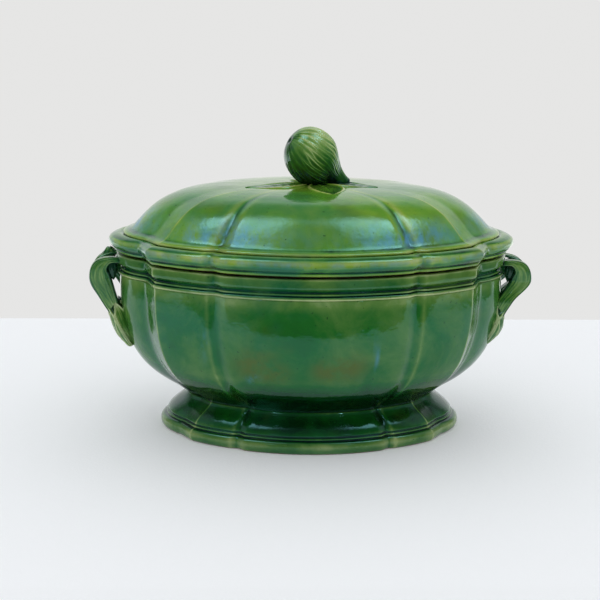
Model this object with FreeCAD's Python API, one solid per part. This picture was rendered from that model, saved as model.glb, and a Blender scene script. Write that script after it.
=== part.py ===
import FreeCAD, Part
import math
import os

from FreeCAD import Vector

os.makedirs("parts", exist_ok=True)

# Lobed oval soup tureen with a lift-off lid, in millimetres.
# X runs from handle to handle, Y from front to back and +Z is up.
# z = 0 is the surface that the foot stands on, under the middle of the bowl.

# ---------------------------------------------------------------- heights
FOOT_TOP = 31.0
FLOOR_TOP = 38.0
BOWL_TOP = 133.0
COLLAR_TOP = 150.3
SEAT_GAP = 0.3
RIM_BOTTOM = 152.6
RIM_TOP = 167.6
DOME_TOP = 207.6
SKIRT_BOTTOM = 142.0

# ---------------------------------------------------------------- plan outline
# Every level is one six-lobed outline: two ends, four sides, one front, one back.
DEPTH_RATIO = 0.73
# A quarter of it, from the end (0 degrees) to the front (90 degrees). Each knot is
# an angle on the level's ellipse, and how far inside that ellipse the outline
# lies there as a share of the radius.
END_VALLEY = (25.6, 0.074)
SIDE_CORNER = (37.3, 0.010)
SIDE_MIDDLE = (47.5, 0.019)
RIB_CREST = (57.2, 0.030)
GROOVE = (59.2, 0.043)
FRONT_SHOULDER = (62.6, 0.013)

# ---------------------------------------------------------------- profiles
# Each profile is a list of (height, half length of the outline at that height).
FOOT_BEAD = [(0, 125.4), (1.6, 127.4), (5.2, 128.4), (8.8, 127.2), (10.6, 124.8), (11.5, 123.0)]
FOOT_COVE = [(11.5, 123.6), (13.4, 122.2), (17.3, 118.4), (21.8, 113.0), (26.3, 108.2), (FOOT_TOP, 106.3)]
FOOT_HOLLOW = [(0, 114.5), (10, 112.0), (20, 104.0), (FOOT_TOP, 98.0)]

BOWL_OUTSIDE = [(FOOT_TOP, 106.3), (35.3, 112.4), (39.8, 119.2), (44.5, 127.0), (51.4, 136.2), (59, 143.8),
                (70, 151.2), (85, 157.0), (100, 160.2), (115, 161.6), (BOWL_TOP, 162.0)]
BOWL_INSIDE = [(FLOOR_TOP, 100.0), (42, 110.0), (47, 119.5), (54, 129.0), (62, 136.6), (72, 144.0),
               (86, 150.0), (100, 153.4), (115, 155.0), (BOWL_TOP, 155.4)]

LEDGE_BEAD = [(BOWL_TOP, 162.0), (133.7, 162.9), (134.7, 163.3), (135.7, 162.9), (136.6, 161.6)]
LEDGE_REED = [(136.6, 161.2), (137.6, 162.0), (138.6, 161.9), (139.6, 160.8)]
COLLAR_BAND = [(139.6, 160.8), (140.6, 161.2), (142.0, 163.2), (143.4, 164.4), (149.3, 164.5), (COLLAR_TOP, 163.6)]
COLLAR_INSIDE = 149.5

SKIRT_OUTSIDE = 148.2
SKIRT_INSIDE = 141.0
SEAT_OUTSIDE = 156.0
RIM_INSIDE = 147.0
RIM_BEAD = [(RIM_BOTTOM, 164.6), (154.2, 166.8), (157.5, 169.4), (161.0, 170.6), (163.6, 170.0), (165.6, 167.4),
            (RIM_TOP, 161.0)]
DOME_FOOT = [(RIM_TOP, 158.6), (168.8, 158.0), (170.4, 154.8), (172.4, 151.4)]
DOME_OUTSIDE = [(172.4, 151.4), (176, 146.9), (180, 142.8), (185, 137.2), (190, 130.6), (195, 122.2), (200, 110.2),
                (203, 99.0), (205, 87.0), (206.6, 68.0), (DOME_TOP, 40.0)]
DOME_INSIDE = [(RIM_TOP, RIM_INSIDE), (172, 143.6), (180, 136.0), (187, 127.0), (193, 115.0), (197, 102.0),
               (199.6, 86.0), (201.2, 60.0), (201.8, 36.0)]

# ---------------------------------------------------------------- handles
# Two stems and two leaves make each handle. Each row is one oval section of the
# front one, as it would be at the +X end: centre x, y, z, then half the oval's size
# across the run and half its size along Y. The rear one mirrors it.
STEM = [(160.0, -17.0, 144.5, 5.0, 5.0), (171.0, -16.0, 145.0, 5.6, 6.0), (178.6, -14.5, 140.6, 7.0, 7.0),
        (180.0, -12.0, 130.0, 8.2, 7.5), (174.8, -9.5, 117.0, 7.6, 7.5), (169.4, -7.5, 106.0, 5.8, 6.5),
        (163.6, -6.5, 95.0, 4.6, 5.5)]
LEAF_BUD = [(162.0, -7.5, 103.0, 3.0, 4.0), (161.5, -10.5, 96.0, 6.4, 8.5), (159.6, -11.5, 87.0, 7.6, 10.0),
            (156.0, -10.0, 77.5, 5.6, 8.2), (151.5, -6.5, 69.0, 2.2, 3.2)]
# The right handle's stems splay further round the bowl: how far their lower ends move
# inwards and sideways, and the heights between which the splay grows.
SPLAY_INWARDS = 5.5
SPLAY_SIDEWAYS = 7.5
SPLAY_FROM = 126.0
SPLAY_FULL = 111.0

# ---------------------------------------------------------------- fig knob
FIG_CENTRE = Vector(-1.0, 0, 231.2)
FIG_AXIS = Vector(0.80, 0.22, -0.56)
# The whole fig is this much taller than a solid of revolution.
FIG_HEIGHTEN = 1.09
# Distance along the axis from the centre, then radius: eye, belly, neck.
FIG_PROFILE = [(-23.6, 0), (-22.6, 6.5), (-18.5, 13.6), (-10.5, 20.0), (0, 22.6), (8.0, 21.2), (14.0, 17.2),
               (19.0, 11.6), (23.5, 6.8)]
STALK_PROFILE = [(23.5, 5.0), (37.0, 3.0)]

# ---------------------------------------------------------------- lid leaves
LEAF_RELIEF = 2.2
# Base point, tip point and half width of each leaf, seen from above.
LID_LEAVES = {
    "leaf_front": ((5, -4), (14, -54), 17),
    "leaf_left": ((-4, -4), (-57, -18), 14),
    "leaf_right": ((8, 0), (55, -14), 12),
    "leaf_back": ((2, 6), (-6, 50), 16),
}


def knot(spec, half_length, z, quarter):
    """A knot of the outline in the quarter whose signs are given."""
    angle = math.radians(spec[0])
    reach = half_length * (1 - spec[1])
    x = quarter[0] * reach * math.cos(angle)
    y = quarter[1] * reach * math.sin(angle) * DEPTH_RATIO
    return Vector(x, y, z)


def quarter_runs(half_length, z, quarter):
    """One quarter as runs of points, from the end valley to the front shoulder."""
    specs = (END_VALLEY, SIDE_CORNER, SIDE_MIDDLE, RIB_CREST, GROOVE, FRONT_SHOULDER)
    valley, corner, middle, crest, groove, shoulder = [knot(s, half_length, z, quarter) for s in specs]
    return [[valley, corner], [corner, middle, crest], [crest, groove], [groove, shoulder]]


def backwards(runs):
    """The same runs, followed the other way."""
    return [run[::-1] for run in runs[::-1]]


def run_edge(run):
    """A straight edge through two points, or an arc through three."""
    if len(run) == 2:
        return Part.LineSegment(run[0], run[1]).toShape()
    return Part.Arc(run[0], run[1], run[2]).toShape()


def outline(half_length, z):
    """The closed lobed outline of one level."""
    half_depth = half_length * DEPTH_RATIO
    back_right = quarter_runs(half_length, z, (1, 1))
    back_left = quarter_runs(half_length, z, (-1, 1))
    front_left = quarter_runs(half_length, z, (-1, -1))
    front_right = quarter_runs(half_length, z, (1, -1))
    runs = list(back_right)
    runs.append([back_right[-1][-1], Vector(0, half_depth, z), back_left[-1][-1]])
    runs += backwards(back_left)
    runs.append([back_left[0][0], Vector(-half_length, 0, z), front_left[0][0]])
    runs += front_left
    runs.append([front_left[-1][-1], Vector(0, -half_depth, z), front_right[-1][-1]])
    runs += backwards(front_right)
    runs.append([front_right[0][0], Vector(half_length, 0, z), back_right[0][0]])
    return Part.Wire([run_edge(run) for run in runs])


def lobed(profile, ruled=False):
    """A solid whose outline follows a profile of (height, half length)."""
    return Part.makeLoft([outline(half, z) for z, half in profile], True, ruled)


def straight(half_length, low, high):
    """A lobed block with upright sides."""
    return Part.Face(outline(half_length, low)).extrude(Vector(0, 0, high - low))


def joined(shapes):
    """One solid from pieces that meet face to face."""
    whole = shapes[0]
    for shape in shapes[1:]:
        whole = whole.fuse(shape)
    return whole.removeSplitter()


def largest(shape):
    """The largest solid of a cut shape, without the crumbs."""
    return sorted(shape.Solids, key=lambda solid: solid.Volume)[-1]


def oval(section, heading):
    """A closed oval across the run of a stem or bud, whose heading is in the XZ plane."""
    x, y, z, half_across, half_along_y = section
    across = Vector(-math.sin(heading), 0, math.cos(heading))
    points = []
    for step in range(12):
        turn = 2 * math.pi * step / 12
        offset = across * (half_across * math.cos(turn)) + Vector(0, half_along_y * math.sin(turn), 0)
        points.append(Vector(x, y, z) + offset)
    curve = Part.BSplineCurve()
    curve.interpolate(Points=points, PeriodicFlag=True)
    return Part.Wire(curve.toShape())


def sprig(sections):
    """A smooth solid through oval sections."""
    wires = []
    for index, section in enumerate(sections):
        before = sections[max(index - 1, 0)]
        after = sections[min(index + 1, len(sections) - 1)]
        heading = math.atan2(after[2] - before[2], after[0] - before[0])
        wires.append(oval(section, heading))
    return Part.makeLoft(wires, True, False)


def mirrored(shape, normal):
    """The shape on the other side of the plane through the origin."""
    return shape.mirror(Vector(0, 0, 0), normal)


def spun(profile):
    """A solid of revolution about the fig's axis, from (distance, radius) pairs, then heightened."""
    points = [Vector(radius, 0, distance) for distance, radius in profile]
    if len(points) > 2:
        curve = Part.BSplineCurve()
        curve.interpolate(points)
        edges = [curve.toShape()]
    else:
        edges = [Part.LineSegment(points[0], points[1]).toShape()]
    corners = [points[-1], Vector(0, 0, points[-1].z), Vector(0, 0, points[0].z), points[0]]
    for start, end in zip(corners, corners[1:]):
        if start.distanceToPoint(end) > 1e-6:
            edges.append(Part.LineSegment(start, end).toShape())
    solid = Part.Face(Part.Wire(edges)).revolve(Vector(0, 0, 0), Vector(0, 0, 1), 360)
    solid.Placement = FreeCAD.Placement(Vector(0, 0, 0), FreeCAD.Rotation(Vector(0, 0, 1), FIG_AXIS))
    heighten = FreeCAD.Matrix()
    heighten.scale(Vector(1, 1, FIG_HEIGHTEN))
    solid = solid.transformGeometry(heighten)
    solid.translate(FIG_CENTRE)
    return Part.Solid(solid) if solid.ShapeType != "Solid" else solid


def leaf_prism(base, tip, half_width):
    """A tall block with a leaf's pointed outline."""
    start = Vector(base[0], base[1], 190)
    end = Vector(tip[0], tip[1], 190)
    along = end - start
    side = Vector(-along.y, along.x, 0).normalize() * half_width
    middle = start + along * 0.42
    left = Part.Arc(start, middle + side, end).toShape()
    right = Part.Arc(end, middle - side, start).toShape()
    return Part.Face(Part.Wire([left, right])).extrude(Vector(0, 0, 30))


def make_foot():
    outside = joined([lobed(FOOT_BEAD), lobed(FOOT_COVE)])
    return outside.cut(lobed(FOOT_HOLLOW))


def make_bowl():
    return lobed(BOWL_OUTSIDE).cut(lobed(BOWL_INSIDE))


def make_collar():
    outside = joined([lobed(LEDGE_BEAD), lobed(LEDGE_REED), lobed(COLLAR_BAND, ruled=True)])
    return outside.cut(straight(COLLAR_INSIDE, BOWL_TOP, COLLAR_TOP))


def make_lid_flange():
    seat = straight(SEAT_OUTSIDE, COLLAR_TOP + SEAT_GAP, RIM_BOTTOM)
    skirt = straight(SKIRT_OUTSIDE, SKIRT_BOTTOM, COLLAR_TOP + SEAT_GAP)
    return joined([seat, skirt]).cut(straight(SKIRT_INSIDE, SKIRT_BOTTOM, RIM_BOTTOM))


def make_lid_rim():
    return lobed(RIM_BEAD).cut(straight(RIM_INSIDE, RIM_BOTTOM, RIM_TOP))


def splayed(stations):
    """The sections of a stem or leaf with their lower ends moved round the bowl."""
    moved = []
    for x, y, z, across, depth in stations:
        share = min(1.0, max(0.0, (SPLAY_FROM - z) / (SPLAY_FROM - SPLAY_FULL)))
        moved.append((x - share * SPLAY_INWARDS, y - share * SPLAY_SIDEWAYS, z, across, depth))
    return moved


def make_handle_pieces(stem, leaf_bud, tureen_outside):
    """The four pieces of a handle at the +X end, cut to lie against the bowl and collar."""
    front_stem = largest(sprig(stem).cut(tureen_outside))
    front_leaf = largest(sprig(leaf_bud).cut(tureen_outside).cut(front_stem))
    along_y = Vector(0, 1, 0)
    return {
        "front_stem": front_stem,
        "rear_stem": mirrored(front_stem, along_y),
        "front_leaf": front_leaf,
        "rear_leaf": mirrored(front_leaf, along_y),
    }


def make_lid_leaves(dome_outside, knob):
    """Leaves in low relief on top of the dome, trimmed around the fig and each other."""
    skin = dome_outside.copy()
    skin.translate(Vector(0, 0, LEAF_RELIEF))
    skin = skin.cut(dome_outside)
    taken = knob
    leaves = {}
    for name, (base, tip, half_width) in LID_LEAVES.items():
        leaf = largest(leaf_prism(base, tip, half_width).common(skin).cut(taken))
        taken = taken.fuse(leaf)
        leaves[name] = leaf
    return leaves


def build():
    """Every node of the tureen, by name."""
    nodes = {}
    nodes["foot"] = make_foot()
    nodes["bowl"] = make_bowl()
    nodes["collar"] = make_collar()

    tureen_outside = lobed(BOWL_OUTSIDE).fuse(straight(COLLAR_BAND[4][1], BOWL_TOP, COLLAR_TOP))
    for name, shape in make_handle_pieces(splayed(STEM), splayed(LEAF_BUD), tureen_outside).items():
        nodes["right_" + name] = shape
    for name, shape in make_handle_pieces(STEM, LEAF_BUD, tureen_outside).items():
        nodes["left_" + name] = mirrored(shape, Vector(1, 0, 0))

    dome_outside = joined([lobed(DOME_FOOT), lobed(DOME_OUTSIDE)])
    nodes["lid_flange"] = make_lid_flange()
    nodes["lid_rim"] = make_lid_rim()
    nodes["lid_dome"] = dome_outside.cut(lobed(DOME_INSIDE))
    nodes["fig"] = largest(spun(FIG_PROFILE).cut(dome_outside))
    nodes["fig_stalk"] = largest(spun(STALK_PROFILE).cut(dome_outside))
    nodes.update(make_lid_leaves(dome_outside, nodes["fig"].fuse(nodes["fig_stalk"])))
    return nodes


for node_name, node_shape in build().items():
    node_shape.exportStep("parts/" + node_name + ".step")
    box = node_shape.BoundBox
    print(node_name, node_shape.ShapeType, len(node_shape.Solids), node_shape.isValid(),
          round(node_shape.Volume), [round(v, 1) for v in (box.XMin, box.XMax, box.YMin, box.YMax, box.ZMin, box.ZMax)])
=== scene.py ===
"""The visual model of the soup tureen: glazed shells, veined handles, a fig knob and leaves."""
import math

import bpy
import numpy as np
from mathutils import Matrix, Vector, noise


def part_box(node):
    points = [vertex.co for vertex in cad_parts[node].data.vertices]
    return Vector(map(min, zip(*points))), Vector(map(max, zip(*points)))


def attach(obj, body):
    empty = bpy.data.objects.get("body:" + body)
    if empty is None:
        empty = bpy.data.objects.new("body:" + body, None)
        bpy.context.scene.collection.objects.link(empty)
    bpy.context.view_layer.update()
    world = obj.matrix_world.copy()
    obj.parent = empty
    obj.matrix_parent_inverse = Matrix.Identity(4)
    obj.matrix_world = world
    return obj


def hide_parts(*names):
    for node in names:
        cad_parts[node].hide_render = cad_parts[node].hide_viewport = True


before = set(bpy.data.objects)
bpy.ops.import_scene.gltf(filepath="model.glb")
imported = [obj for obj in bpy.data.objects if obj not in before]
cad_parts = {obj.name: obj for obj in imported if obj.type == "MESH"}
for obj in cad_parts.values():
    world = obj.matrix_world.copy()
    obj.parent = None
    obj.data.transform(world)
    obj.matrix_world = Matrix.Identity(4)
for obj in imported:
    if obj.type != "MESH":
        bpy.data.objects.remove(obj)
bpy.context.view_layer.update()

MM = 0.001

# ---- plan outline
DEPTH_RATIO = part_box("foot")[1][1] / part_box("foot")[1][0]
# Knots of a quarter outline, from the end (0 degrees) to the front (90 degrees):
# the angle on the level's ellipse, and the inset there as a share of the radius.
END_VALLEY = 25.6
SIDE_CORNER = (37.3, 0.008)
SIDE_MIDDLE = (47.5, 0.018)
RIB_CREST = (57, 0.026)
GROOVE = (59.4, 0.046)
FRONT_SHOULDER = (62.8, 0.012)
# The valley's inset, which is shallower on the lower and inner shells.
VALLEY_INSETS = {"foot": 0.036, "bowl": 0.06, "collar": 0.074, "lid_rim": 0.074, "lid_dome": 0.040}
# Points along each arc of a quarter and round the whole outline, then the columns of a shell's mesh.
END_ARC_POINTS = 401
SIDE_ARC_POINTS = 300
FRONT_ARC_POINTS = 801
OUTLINE_POINTS = 4800
COLUMNS = 440
# The columns lie closer together round the side corner and the groove: how much more, and how far.
CORNER_DENSITY = 3
GROOVE_DENSITY = 1.8
CORNER_REACH = 5 * MM
GROOVE_REACH = 9 * MM
# Rounding of the side corner.
SHARP_ROUNDING = 0.8 * MM
# Rounding of each shell elsewhere, in millimetres.
SOFT_ROUNDING = {"foot": 2.2, "bowl": 3.4, "collar": 2.4, "lid_rim": 2.4, "lid_dome": 1.9}
# Where the glaze runs thin (above 0) or pools (below 0) on each shell: at the rib's crest, the side
# corner, the groove and the front shoulder, then the half width of the rib's mark in millimetres.
KNOT_MARKS = {
    "foot": (0.35, 0.85, -0.25, 0, 1.5),
    "bowl": (0.42, 0.7, -0.22, 0, 1.5),
    "collar": (0.1, 0.3, -0.25, 0, 1.5),
    "lid_rim": (0.15, 0.3, -0.45, 0, 1.5),
    "lid_dome": (0.6, 0.8, -0.42, 0.15, 4),
}
# Half widths of the other marks in millimetres, and the groove's as a share of the rib's.
CORNER_MARK = 0.8
GROOVE_MARK_SHARE = 0.6
SHOULDER_MARK = 1.6
# The same at levels: height above the node's base in millimetres, strength, half width in millimetres.
LEVEL_MARKS = {
    # The foot's broad mark at 22 mm is painted shade in its cove under the bowl, and the bowl's mark at
    # 3 mm is painted shade next to the foot.
    "foot": [(6.5, 0.42, 2.6), (10.9, -0.9, 0.8), (12.2, 0.35, 0.5), (13.4, -0.6, 1), (22, -0.55, 9)],
    "bowl": [(99, 0.34, 5), (3, -0.5, 9)],
    "collar": [(0.8, 0.85, 0.8), (3.4, -0.85, 0.7), (4.8, 0.25, 0.5), (6.4, -0.55, 0.9),
               (16.8, 0.3, 0.6)],
    "lid_rim": [(3.1, -0.8, 0.9), (5.4, -0.45, 1.7), (10.6, 0.45, 1.9), (13.4, -0.5, 1)],
    "lid_dome": [(0.9, 0.25, 0.7), (3.2, -0.45, 1.2)],
}

# A hand-pressed wall is never quite true: how far it strays, over what distance, and the height
# above the table where the wobble is full.
WOBBLE = 0.2 * MM
WOBBLE_SIZE = 35 * MM
WOBBLE_FULL = 6 * MM
# How strongly the glaze reads sharp and broad relief, and how often each is blurred along the mesh.
SHARP_RELIEF = 3.0
SHARP_BLURS = 4
BROAD_RELIEF = 9.0
BROAD_BLURS = 60

# ---- shell profiles
# Runs of (height above the node's base, inset from its widest half length), in millimetres, with
# the spacing of points on the outside and the inside.
FINE_STEP = 1.0
COARSE_STEP = 4.5
FOOT_OUTSIDE = [
    [(0, 13.9), (0, 3.8)],
    [(0, 3.8), (0.5, 2.5), (1.9, 0.9), (5.2, 0), (8.3, 0.8), (10.2, 2.9), (10.9, 5.8)],
    [(10.9, 5.8), (11.6, 5), (12.5, 5.1), (13.1, 7)],
    [(13.1, 7), (14.6, 6.1), (17.8, 8.2), (21.8, 12.6), (26.3, 18.2), (29, 20.9), (31, 22.1)],
]
FOOT_INSIDE = [
    [(31, 22.1), (31, 30.4)],
    [(31, 30.4), (20, 24.4), (10, 16.4), (0, 13.9)],
]
BOWL_OUTSIDE = [
    [(0, 161.9), (0, 55.7)],
    [(0, 55.7), (4.3, 49.6), (8.8, 42.8), (13.5, 35), (20.4, 25.8), (28, 18.2), (39, 10.8),
     (54, 5), (69, 1.8), (84, 0.4), (102, 0)],
]
BOWL_INSIDE = [
    [(102, 0), (102, 6.6)],
    [(102, 6.6), (84, 7), (69, 8.6), (55, 12), (41, 18), (31, 25.4), (23, 33),
     (16, 42.5), (11, 52), (7.4, 66), (7, 90), (7, 161.9)],
]
COLLAR_OUTSIDE = [
    [(0, 15), (0, 2.6)],
    [(0, 2.6), (0.5, 1.6), (1.7, 1.1), (2.9, 1.8), (3.4, 4.2)],
    [(3.4, 4.2), (4, 3), (5, 2.9), (5.8, 4.8)],
    [(5.8, 4.8), (6.9, 4.3), (8.2, 2.8), (9.4, 0.9), (10.3, 0.2), (11.5, 0), (14.5, 0), (16.2, 0.2),
     (17, 0.8), (17.3, 2)],
]
COLLAR_INSIDE = [
    [(17.3, 2), (17.3, 14)],
    [(17.3, 14), (16.6, 15), (0, 15)],
]
RIM_OUTSIDE = [
    [(0, 23.6), (0, 7)],
    [(0, 7), (0.2, 5.8), (1.1, 4.7), (2.3, 4.2), (3.1, 4.6)],
    [(3.1, 4.6), (4.2, 2.5), (6.4, 0.7), (8.9, 0), (11.2, 0.7), (13, 2.9), (14.3, 6.3), (14.7, 9.6),
     (14, 11.9)],
]
RIM_INSIDE = [
    [(14, 11.9), (14.1, 23.6)],
    [(14.1, 23.6), (0, 23.6)],
]
DOME_OUTSIDE = [
    [(-0.5, 11.6), (-0.5, 0.9)],
    [(-0.5, 0.9), (0.6, 0.2), (1.6, 1.1), (2.4, 2.9), (2.9, 4.6), (3.6, 6.4), (5, 8.3), (8.7, 11.9),
     (13, 15.8), (18.6, 21.4), (24.2, 28.2), (29.4, 37), (34.2, 49.2), (36.6, 60.4), (38.1, 72.4),
     (39.3, 91.4), (39.9, 118), (40.1, 157.9)],
]
DOME_INSIDE = [
    [(40.1, 157.9), (34.2, 157.9)],
    [(34.2, 157.9), (33.8, 122), (32, 92), (29.4, 73), (25.4, 57), (19.4, 44), (12.4, 32),
     (4.4, 19), (-0.5, 11.6)],
]
# Inside this half length the dome's lobes melt into an ellipse.
LOBES_FADE_BELOW = 60 * MM

# ---- handles
# Distance out from the collar, place along Y and height above the ledge of the front right stem's
# middle, then its half thickness across and along Y, in millimetres.
STEM = [
    (-5, -17, 13.2, 2.4, 4.6), (4.5, -16.4, 13, 2.9, 5.2), (12, -14.8, 7.2, 7.2, 5.8),
    (13.1, -12.8, -2.6, 9.4, 5.8), (8.2, -10.6, -16, 7.8, 5.4), (3.5, -9, -27, 6, 5),
    (-0.8, -8.2, -37, 3.8, 4.4),
]
# The rear stem also has a branch that crosses down to the bowl's wall.
BRANCH = [
    (-7.5, 6.5, -20, 1.4, 2.4), (-4.6, 8, -10, 4, 4.2), (1, 10, 0.5, 6.2, 6),
    (7.5, 12.5, 5.5, 6.2, 6), (12, 14, 6, 3, 4),
]
# A dark web under the front stem's arch: painted shade for the shadowed hollow there.
ARCH_SHADE = [
    (2.6, -13.5, 14, 4.4, 3), (3.4, -13, 8, 5.2, 4), (2.8, -12, 2, 4.4, 4.2),
    (2.2, -11, -2.5, 2.2, 2.8), (1.9, -10.4, -5, 0.4, 0.8),
]
# The rear stems' half thickness across, as a share of the front ones'.
REAR_SLIMMER = 0.5
# The left rear stem was cut off above its bend.
STUMP = [
    (12.4, 15.5, 5, 6.2, 4.8), (7.6, 16, 12.6, 5.4, 4.2), (5.4, 16.4, 16.6, 4.2, 3.4),
    (5.2, 16.4, 17, 1, 1),
]
# Its pale cut end starts and is full at these shares of its length.
STUMP_CUT = (0.72, 0.84)
LEAF_BUD = [
    (2.2, -8, -27, 4.6, 5), (-1.2, -9.4, -33, 6, 7), (-3.8, -11, -39.5, 6.8, 8.6),
    (-6.3, -11.2, -47, 6.6, 9.2), (-9.4, -10.2, -54.5, 5.4, 8), (-12, -9, -60.5, 3.9, 5.8),
    (-13.4, -8.4, -63.4, 2.8, 4), (-13.7, -8.2, -64.4, 1, 1.5),
]
# The buds end higher than these stations, by this share of their length.
BUD_SHORTENING = {"left": 0.05, "right": 0.15}
# How much wider they are, towards the bowl.
BUD_WIDENING = {"left": 1, "right": 1.3}
# Hidden ends of the stems and buds lie this deep in the bowl's wall at most.
ROOT_DEPTH = 3.5 * MM
# Angle and half width in degrees, start and tip along the bud, and lift in millimetres of its leaves.
BUD_LEAVES = [
    (250, 54, -0.06, 1.3, 0), (326, 56, -0.03, 1.35, 0.9), (212, 24, 0.5, 1.4, 0.7),
    (165, 50, -0.05, 1.2, 0.2), (28, 50, -0.05, 1.15, 0.3), (95, 50, -0.05, 1.2, 0.1),
    (288, 27, 0.2, 1.32, 0.5),
]
# The relief of these leaves in millimetres, and the half widths of their edge and rim in degrees.
BUD_BODY = 1.0
BUD_EDGE = 2.6
BUD_RIM = 0.9
BUD_RIB = 0.4
BUD_VEINS = 0.10
BUD_DISH = 0.7
BUD_EDGE_WIDTH = 1.6
BUD_RIM_WIDTH = 4.6
# Points round a stem, a branch, a stump and a bud, and the spacing along them in millimetres.
STEM_COLUMNS = 150
BRANCH_COLUMNS = 64
STUMP_COLUMNS = 48
BUD_COLUMNS = 190
TUBE_STEP = 0.45
# Section of a stem and a bud, where 1 is an ellipse and less is squarer.
STEM_SECTION = 0.72
BUD_SECTION = 0.9
# Angle round the stem, height in millimetres and width in degrees of its folds and veins.
STEM_FOLDS = [(322, 0.9, 7), (222, 0.7, 6), (40, 0.5, 9)]
STEM_VEINS = [
    (204, 0.1, 3), (236, 0.22, 3), (244, 0.1, 2), (257, 0.26, 3), (266, 0.12, 2), (279, 0.24, 3),
    (290, 0.1, 2), (300, 0.2, 3), (309, 0.12, 2), (345, 0.15, 3), (0, 0.12, 4),
]
# Angle and width in degrees and strength of the hollow in front and of the painted shade on the inner
# side.
STEM_HOLLOW = (276, 30, 0.5)
STEM_INSIDE_SHADE = (190, 26, 1.1)
# Made by hand, the two handles aren't quite the same size.
HANDLE_SIZE = {"left": 0.98, "right": 0.945}
HANDLE_MIDDLE = -24 * MM
# The lower ends of the right stems splay towards the bowl and apart, between two heights above the
# ledge, and lower down their buds turn out again a little. All are in millimetres.
SPLAY_INWARDS = {"left": 0, "right": 8.2}
SPLAY_SIDEWAYS = {"left": 0, "right": 7.5}
SPLAY_HEIGHTS = (-3, -22)
TURN_OUT = {"left": 0, "right": 2.7}
TURN_OUT_HEIGHTS = (-28, -48)

# ---- fig
FIG_MIDDLE = Vector((-1, 0, 231)) * MM
FIG_AXIS = Vector((0.8, 0.22, -0.56)).normalized()
FIG_HEIGHTEN = 1.09
# Distance along the axis from the middle and radius, in millimetres: eye, belly, neck, stalk.
FIG_PROFILE = [
    (-21.2, 0), (-22.4, 2.2), (-22.6, 4.4), (-20.6, 10.4), (-15.6, 16.6), (-8, 20.6), (0, 22),
    (8, 20.9), (14.5, 17.2), (20, 12.6), (25, 8.8), (30, 6.4), (35, 5), (38, 4.5),
    (38.8, 3.2), (38.8, 0),
]
FIG_STEP = 0.55
FIG_COLUMNS = 380
# Only the fat end is heightened; the neck droops until it lies on the lid. Each changes between
# two distances along the axis.
FIG_HEIGHTEN_ALONG = (28, 14)
FIG_DROOP = 2.6
FIG_DROOP_ALONG = (10, 30)
FIG_RIBS = 23
FIG_RIB_HEIGHT = 0.55
FIG_RIB_WIDTH = 0.42
# Place along the axis and half width of the dark ring round the eye.
FIG_EYE = (-21.5, 1.6)
# The underside flattens where it would sink into the dome by more than this.
FIG_SINK = 1.5 * MM
# Where it lies on the lid, seen from above: middle X and Y, half length and half width, in millimetres.
FIG_FOOTING = (12, 3, 21, 11)
# A painted dark reflection of it on the dome in front, given the same way.
FIG_PAINTED_REFLECTION = (0, -66, 22, 18)

# ---- lid leaves
# Base point, tip point and half width of each leaf, seen from above, in millimetres.
LID_LEAVES = {
    "leaf_front": ((3, -4), (15, -53), 16),
    "leaf_left": ((-4, -4), (-56, -19), 13),
    "leaf_right": ((8, 0), (54, -15), 11.5),
    "leaf_back": ((2, 6), (-6, 49), 15),
}
LEAF_THICKNESS = 1.9 * MM
LEAF_ROWS = 90
LEAF_COLUMNS = 61
# How far a leaf bows sideways, how far its edge sinks into the dome, and how far its underside is
# below its surface.
LEAF_BOW = 2.5 * MM
LEAF_SINK = 0.25 * MM
LEAF_DEPTH = 2.2 * MM
# Heights of its parts, as shares of the thickness.
LEAF_BODY = 0.5
LEAF_RIM = 0.8
LEAF_RIB = 0.5
LEAF_VEINS = 0.06

# ---- glazes
OCHRE = (0.082, 0.112, 0.002)
OLIVE = (0.085, 0.15, 0.012)
TEAL = (0.012, 0.13, 0.066)
# Colour of the painted bluish sheen: a painted reflection laid into the glaze's colour.
PAINTED_SHEEN_BLUE = (0.08, 0.27, 0.46)
CLAY_RED = (0.2, 0.085, 0.04)
PINHOLE = (0.004, 0.02, 0.004)
GLAZE_IOR = 1.6
# Levels of a glaze's colours: deepest, pooled, on the body, thin and on edges.
GLAZE_STOPS = (0, 0.20, 0.46, 0.66, 0.92)
# Colours where each glaze pools, on the body, where it is thin and on edges, then how much it shows
# relief, olive patches and teal washes, the height of bare clay below and the tint of reflections.
GLAZE_LOOKS = {
    "foot": dict(pooled=(0.001, 0.018, 0.002), body=(0.004, 0.07, 0.006), thin=(0.07, 0.17, 0.03),
                 edge=(0.28, 0.36, 0.13), olive=0.15, teal=0.1, clay_below=0),
    "bowl": dict(pooled=(0.001, 0.032, 0.003), body=(0.012, 0.12, 0.011), thin=(0.1, 0.21, 0.04),
                 edge=(0.34, 0.44, 0.18), relief=0.3, olive=0.25),
    "collar": dict(pooled=(0.001, 0.006, 0.008), body=(0.008, 0.09, 0.012), thin=(0.1, 0.21, 0.04),
                   edge=(0.4, 0.48, 0.2), relief=0.4, olive=0.3),
    "lid": dict(pooled=(0.002, 0.032, 0.01), body=(0.09, 0.272, 0.021), thin=(0.21, 0.36, 0.03),
                edge=(0.38, 0.46, 0.13), teal=0.45),
    "rim": dict(pooled=(0.001, 0.016, 0.006), body=(0.036, 0.165, 0.012), thin=(0.21, 0.35, 0.03),
                edge=(0.4, 0.48, 0.15), olive=0.6, teal=0.6),
    "handle": dict(pooled=(0.004, 0.022, 0.002), body=(0.024, 0.125, 0.01), thin=(0.17, 0.3, 0.06),
                   edge=(0.46, 0.56, 0.28), olive=0.25, tint=(0.55, 0.86, 0.78)),
    "fig": dict(pooled=(0.001, 0.014, 0.002), body=(0.02, 0.12, 0.008), thin=(0.13, 0.27, 0.05),
                edge=(0.42, 0.54, 0.2), olive=0.2, teal=0.1),
}
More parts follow.
